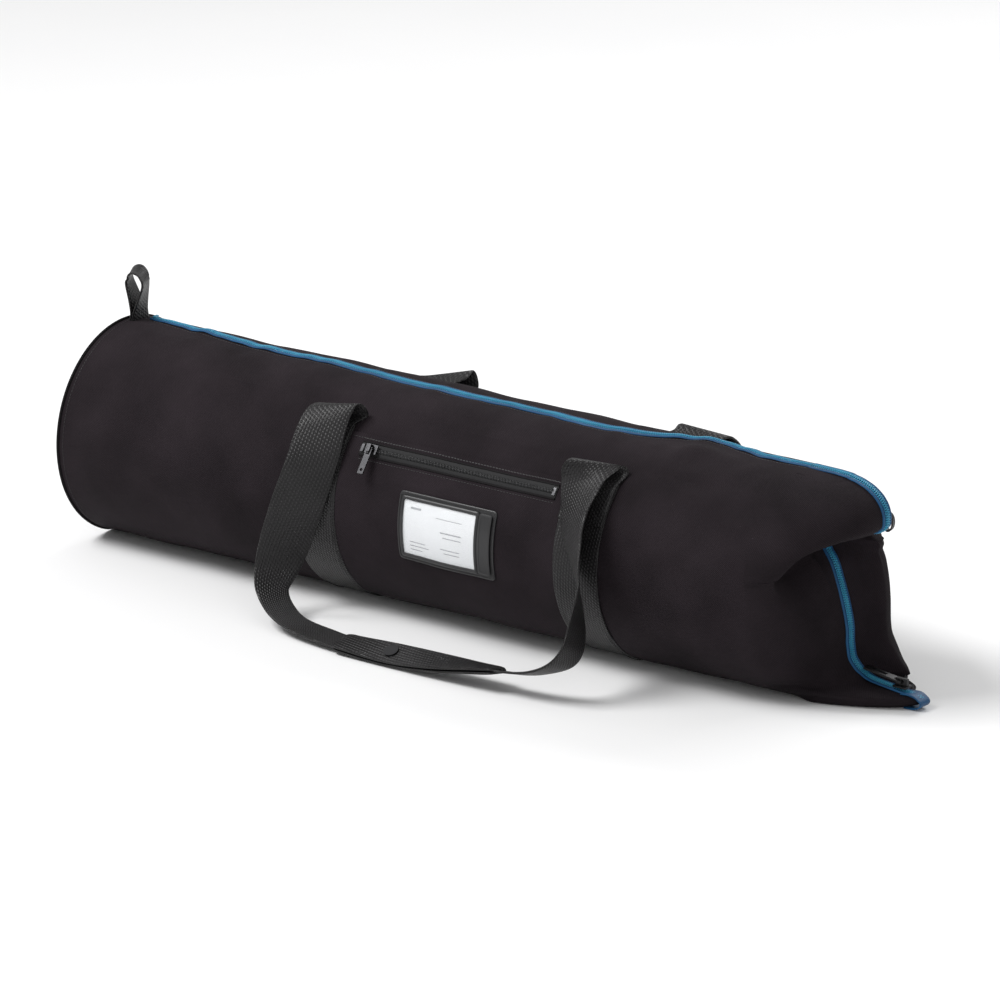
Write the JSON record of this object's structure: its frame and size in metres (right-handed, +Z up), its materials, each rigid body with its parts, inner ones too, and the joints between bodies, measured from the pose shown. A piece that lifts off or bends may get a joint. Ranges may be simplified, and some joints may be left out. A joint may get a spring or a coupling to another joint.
{
  "type": "padded tube bag",
  "caption": "Long padded tube bag with a full-length zipper, carry handles, a zipped side pocket, a clear card holder and a haul loop.",
  "frame": {"origin": "floor level under the middle of the whole bag, between its two ends and its two handles", "axes": "+X along the tube towards the zipped prow, +Y towards the side without the pocket, +Z up"},
  "size_m": [0.92, 0.3812, 0.253],
  "materials": {
    "outer_fabric": "matt black polyester twill",
    "piping": "fabric-covered piping",
    "foam": "closed-cell foam",
    "lining": "smooth grey nylon lining",
    "webbing": "ribbed black webbing with a grey sheen",
    "zip_tape": "blue woven zipper tape",
    "zip_coil": "blue nylon coil",
    "pocket_tape": "black woven zipper tape",
    "pocket_coil": "black nylon coil",
    "gunmetal": "dark gunmetal plating",
    "holder_rubber": "satin black moulded rubber",
    "window": "clear flexible vinyl",
    "card": "white card"
  },
  "bodies": {
    "trunk": {"belly_shell": "outer_fabric", "belly_foam": "foam", "belly_lining": "lining", "sleeve_shell": "outer_fabric", "sleeve_foam": "foam", "sleeve_lining": "lining", "end_cap_shell": "outer_fabric", "end_cap_foam": "foam", "end_cap_lining": "lining", "end_cap_piping": "piping", "prow_shell": "outer_fabric", "haul_loop": "webbing", "left_band": "webbing", "right_band": "webbing", "front_strap_anchors": "webbing", "rear_strap_anchors": "webbing", "sleeve_zip_tapes": "zip_tape", "sleeve_zip_coils": "zip_coil", "zip_top_stop": "zip_coil", "prow_zip_tapes": "zip_tape", "prow_zip_coils": "zip_coil", "zip_bottom_stop": "zip_tape", "main_slider": "gunmetal", "pocket_panel": "outer_fabric", "pocket_zip_tape": "pocket_tape", "pocket_zip_coil": "pocket_coil", "pocket_end_stops": "gunmetal", "card_holder_back": "holder_rubber", "card_holder_frame": "holder_rubber", "card_holder_window": "window"},
    "front_flap": {"front_flap_shell": "outer_fabric", "front_flap_foam": "foam", "front_flap_lining": "lining", "front_nose": "outer_fabric", "front_zip_tape": "zip_tape", "front_zip_coil": "zip_coil"},
    "rear_flap": {"rear_flap_shell": "outer_fabric", "rear_flap_foam": "foam", "rear_flap_lining": "lining", "rear_nose": "outer_fabric", "rear_zip_tape": "zip_tape", "rear_zip_coil": "zip_coil", "nose_tab": "outer_fabric"},
    "front_handle": {"front_handle_legs": "webbing", "front_handle_grip": "webbing", "front_grip_snap": "gunmetal"},
    "rear_handle": {"rear_handle_legs": "webbing", "rear_handle_grip": "webbing", "rear_grip_snap": "gunmetal"},
    "main_puller": {"main_puller": "gunmetal"},
    "pocket_slider": {"pocket_slider": "gunmetal"},
    "pocket_puller": {"pocket_puller": "gunmetal"},
    "name_card": {"name_card": "card"}
  },
  "joints": [
    {"name": "front_flap_fold", "type": "hinge", "parent": "trunk", "child": "front_flap", "pos_m": [0, -0.05511, 0.1902], "axis": [1, 0, 0], "range_deg": [0, 60], "deforming": ["front_nose", "front_zip_tape", "front_zip_coil"]},
    {"name": "rear_flap_fold", "type": "hinge", "parent": "trunk", "child": "rear_flap", "pos_m": [0, 0.05511, 0.1902], "axis": [-1, 0, 0], "range_deg": [0, 60], "deforming": ["rear_nose", "rear_zip_tape", "rear_zip_coil"]},
    {"name": "front_handle_swing", "type": "hinge", "parent": "trunk", "child": "front_handle", "pos_m": [0, -0.066, 0.195], "axis": [-1, 0, 0], "range_deg": [0, 150]},
    {"name": "rear_handle_swing", "type": "hinge", "parent": "trunk", "child": "rear_handle", "pos_m": [0, 0.066, 0.195], "axis": [1, 0, 0], "range_deg": [0, 150]},
    {"name": "main_puller_flip", "type": "hinge", "parent": "trunk", "child": "main_puller", "pos_m": [0.436, 0.012, 0.0225], "axis": [0, 1, 0], "range_deg": [0, 150]},
    {"name": "pocket_slider_run", "type": "slide", "parent": "trunk", "child": "pocket_slider", "axis": [1, 0, 0], "range_m": [0, 0.2]},
    {"name": "pocket_puller_lift", "type": "hinge", "parent": "pocket_slider", "child": "pocket_puller", "pos_m": [-0.09, -0.09012, 0.16748], "axis": [-1, 0, 0], "range_deg": [0, 110]},
    {"name": "name_card_slide", "type": "slide", "parent": "trunk", "child": "name_card", "axis": [1, 0, 0], "range_m": [0, 0.1]}
  ]
}
